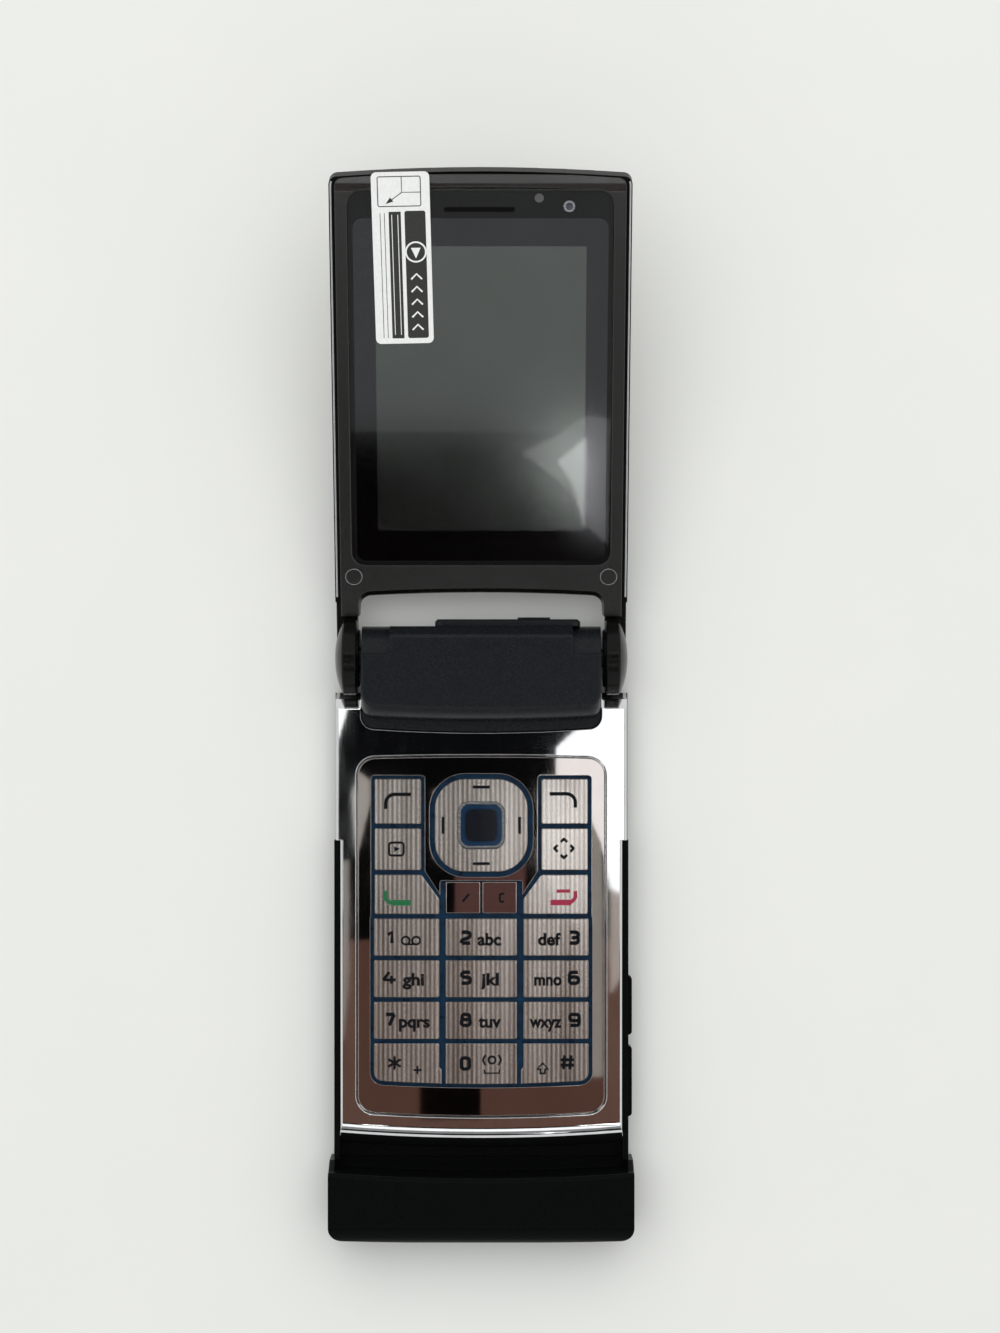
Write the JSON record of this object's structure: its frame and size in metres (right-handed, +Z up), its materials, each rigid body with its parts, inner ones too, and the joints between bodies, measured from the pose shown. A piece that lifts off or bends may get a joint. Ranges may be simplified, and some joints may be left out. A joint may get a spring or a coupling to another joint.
{
  "type": "flip phone",
  "caption": "Open clamshell mobile phone lying on its back: chrome-framed keypad base with raised chin and barrel hinge, lid with a large inner display, all keys and the lid working.",
  "frame": {"origin": "foot of the lid's hinge axis on the plane that the base rests on, on the symmetry plane", "axes": "+Y from the keys to the lid, +X to the right of someone reading the keys, +Z up out of the keys"},
  "size_m": [0.052, 0.1805, 0.0345],
  "materials": {
    "soft_touch_black": "soft-touch lacquer on moulded plastic",
    "satin_barrel": "satin paint on moulded plastic",
    "satin_bezel": "satin brown-black paint",
    "cast_magnesium": "die-cast, satin brown-black paint",
    "chrome_plate": "chrome-plated moulded plastic",
    "mirror_plate": "half-mirror vacuum coating on clear plastic",
    "key_silver": "fine vertical stripes under a clear coat",
    "select_dark": "dark gloss",
    "blue_film": "blue light guide",
    "inner_plastic": "moulded",
    "steel": "plain",
    "bush_bronze": "sintered",
    "circuit_board": "solder mask",
    "battery_can": "wrapped can",
    "clear_glass": "polished, printed border",
    "dark_window": "polished",
    "display_module": "switched-off panel",
    "tab_paper": "coated paper"
  },
  "bodies": {
    "base": {"rear_housing": "soft_touch_black", "chin_cap": "soft_touch_black", "front_frame": "chrome_plate", "key_panel": "mirror_plate", "key_light_sheet": "blue_film", "dome_sheet": "steel", "main_board": "circuit_board", "shield_cans": "steel", "battery": "battery_can", "usb_port": "steel", "barrel_cover": "satin_barrel", "barrel_end_trim": "satin_barrel", "audio_jack": "inner_plastic", "camera_module": "inner_plastic", "camera_window": "dark_window", "hinge_cartridge": "steel", "hinge_bush": "bush_bronze", "loudspeaker": "inner_plastic", "housing_screws": "steel"},
    "lid": {"lid_frame": "cast_magnesium", "lid_cover": "chrome_plate", "lid_mirror_panel": "mirror_plate", "lid_bezel": "satin_bezel", "display_glass": "clear_glass", "main_display": "display_module", "sub_display": "display_module", "earpiece": "inner_plastic", "front_camera_and_sensor": "inner_plastic", "screw_caps": "satin_bezel", "hinge_shaft": "steel", "hinge_tube": "steel", "pull_tab": "tab_paper"},
    "battery_cover": {"battery_cover": "soft_touch_black"},
    "port_door": {"port_door": "chrome_plate"},
    "volume_rocker": {"volume_rocker": "soft_touch_black"},
    "capture_key": {"capture_key": "soft_touch_black"},
    "power_key": {"power_key": "satin_barrel"},
    "nav_carrier": {"nav_carrier": "inner_plastic"},
    "nav_ring": {"nav_ring": "key_silver"},
    "select_key": {"select_key": "select_dark"},
    "key_1": {"key_1": "key_silver"},
    "key_2": {"key_2": "key_silver"},
    "key_3": {"key_3": "key_silver"},
    "key_4": {"key_4": "key_silver"},
    "key_5": {"key_5": "key_silver"},
    "key_6": {"key_6": "key_silver"},
    "key_7": {"key_7": "key_silver"},
    "key_8": {"key_8": "key_silver"},
    "key_9": {"key_9": "key_silver"},
    "key_star": {"key_star": "key_silver"},
    "key_0": {"key_0": "key_silver"},
    "key_hash": {"key_hash": "key_silver"},
    "soft_key_left": {"soft_key_left": "key_silver"},
    "soft_key_right": {"soft_key_right": "key_silver"},
    "media_key": {"media_key": "key_silver"},
    "menu_key": {"menu_key": "key_silver"},
    "call_key": {"call_key": "key_silver"},
    "end_key": {"end_key": "key_silver"},
    "edit_key": {"edit_key": "mirror_plate"},
    "clear_key": {"clear_key": "mirror_plate"}
  },
  "joints": [
    {"name": "lid_hinge", "type": "hinge", "parent": "base", "child": "lid", "pos_m": [0, 0, 0.00685], "axis": [1, 0, 0], "range_deg": [0, 160]},
    {"name": "battery_cover_lift", "type": "hinge", "parent": "base", "child": "battery_cover", "pos_m": [0, -0.0299, 0.0003], "axis": [1, 0, 0], "range_deg": [0, 12]},
    {"name": "port_door_swing", "type": "hinge", "parent": "base", "child": "port_door", "pos_m": [0.02495, -0.02305, 0.00275], "axis": [0, 1, 0], "range_deg": [0, 80]},
    {"name": "volume_rock", "type": "hinge", "parent": "base", "child": "volume_rocker", "pos_m": [0.024, -0.05965, 0.0044], "axis": [0, 0, 1], "range_deg": [-2, 2], "stiffness_Nm_per_rad": 0.05},
    {"name": "nav_rock_up_down", "type": "hinge", "parent": "base", "child": "nav_carrier", "pos_m": [0, -0.02865, 0.0068], "axis": [1, 0, 0], "range_deg": [-1.2, 1.2], "stiffness_Nm_per_rad": 0.05},
    {"name": "nav_rock_left_right", "type": "hinge", "parent": "nav_carrier", "child": "nav_ring", "pos_m": [0, -0.02865, 0.0068], "axis": [0, 1, 0], "range_deg": [-1.2, 1.2], "stiffness_Nm_per_rad": 0.05},
    {"name": "select_key_press", "type": "slide", "parent": "base", "child": "select_key", "axis": [0, 0, -1], "range_m": [0, 0.00025], "stiffness_N_per_m": 400},
    {"name": "capture_key_press", "type": "slide", "parent": "base", "child": "capture_key", "axis": [-1, 0, 0], "range_m": [0, 0.0004], "stiffness_N_per_m": 400},
    {"name": "power_key_press", "type": "slide", "parent": "base", "child": "power_key", "axis": [0, -1, 0], "range_m": [0, 0.0003], "stiffness_N_per_m": 400},
    {"name": "key_1_press", "type": "slide", "parent": "base", "child": "key_1", "axis": [0, 0, -1], "range_m": [0, 0.00025], "stiffness_N_per_m": 400},
    {"name": "key_2_press", "type": "slide", "parent": "base", "child": "key_2", "axis": [0, 0, -1], "range_m": [0, 0.00025], "stiffness_N_per_m": 400},
    {"name": "key_3_press", "type": "slide", "parent": "base", "child": "key_3", "axis": [0, 0, -1], "range_m": [0, 0.00025], "stiffness_N_per_m": 400},
    {"name": "key_4_press", "type": "slide", "parent": "base", "child": "key_4", "axis": [0, 0, -1], "range_m": [0, 0.00025], "stiffness_N_per_m": 400},
    {"name": "key_5_press", "type": "slide", "parent": "base", "child": "key_5", "axis": [0, 0, -1], "range_m": [0, 0.00025], "stiffness_N_per_m": 400},
    {"name": "key_6_press", "type": "slide", "parent": "base", "child": "key_6", "axis": [0, 0, -1], "range_m": [0, 0.00025], "stiffness_N_per_m": 400},
    {"name": "key_7_press", "type": "slide", "parent": "base", "child": "key_7", "axis": [0, 0, -1], "range_m": [0, 0.00025], "stiffness_N_per_m": 400},
    {"name": "key_8_press", "type": "slide", "parent": "base", "child": "key_8", "axis": [0, 0, -1], "range_m": [0, 0.00025], "stiffness_N_per_m": 400},
    {"name": "key_9_press", "type": "slide", "parent": "base", "child": "key_9", "axis": [0, 0, -1], "range_m": [0, 0.00025], "stiffness_N_per_m": 400},
    {"name": "key_star_press", "type": "slide", "parent": "base", "child": "key_star", "axis": [0, 0, -1], "range_m": [0, 0.00025], "stiffness_N_per_m": 400},
    {"name": "key_0_press", "type": "slide", "parent": "base", "child": "key_0", "axis": [0, 0, -1], "range_m": [0, 0.00025], "stiffness_N_per_m": 400},
    {"name": "key_hash_press", "type": "slide", "parent": "base", "child": "key_hash", "axis": [0, 0, -1], "range_m": [0, 0.00025], "stiffness_N_per_m": 400},
    {"name": "soft_key_left_press", "type": "slide", "parent": "base", "child": "soft_key_left", "axis": [0, 0, -1], "range_m": [0, 0.00025], "stiffness_N_per_m": 400},
    {"name": "soft_key_right_press", "type": "slide", "parent": "base", "child": "soft_key_right", "axis": [0, 0, -1], "range_m": [0, 0.00025], "stiffness_N_per_m": 400},
    {"name": "media_key_press", "type": "slide", "parent": "base", "child": "media_key", "axis": [0, 0, -1], "range_m": [0, 0.00025], "stiffness_N_per_m": 400},
    {"name": "menu_key_press", "type": "slide", "parent": "base", "child": "menu_key", "axis": [0, 0, -1], "range_m": [0, 0.00025], "stiffness_N_per_m": 400},
    {"name": "call_key_press", "type": "slide", "parent": "base", "child": "call_key", "axis": [0, 0, -1], "range_m": [0, 0.00025], "stiffness_N_per_m": 400},
    {"name": "end_key_press", "type": "slide", "parent": "base", "child": "end_key", "axis": [0, 0, -1], "range_m": [0, 0.00025], "stiffness_N_per_m": 400},
    {"name": "edit_key_press", "type": "slide", "parent": "base", "child": "edit_key", "axis": [0, 0, -1], "range_m": [0, 0.00025], "stiffness_N_per_m": 400},
    {"name": "clear_key_press", "type": "slide", "parent": "base", "child": "clear_key", "axis": [0, 0, -1], "range_m": [0, 0.00025], "stiffness_N_per_m": 400}
  ]
}
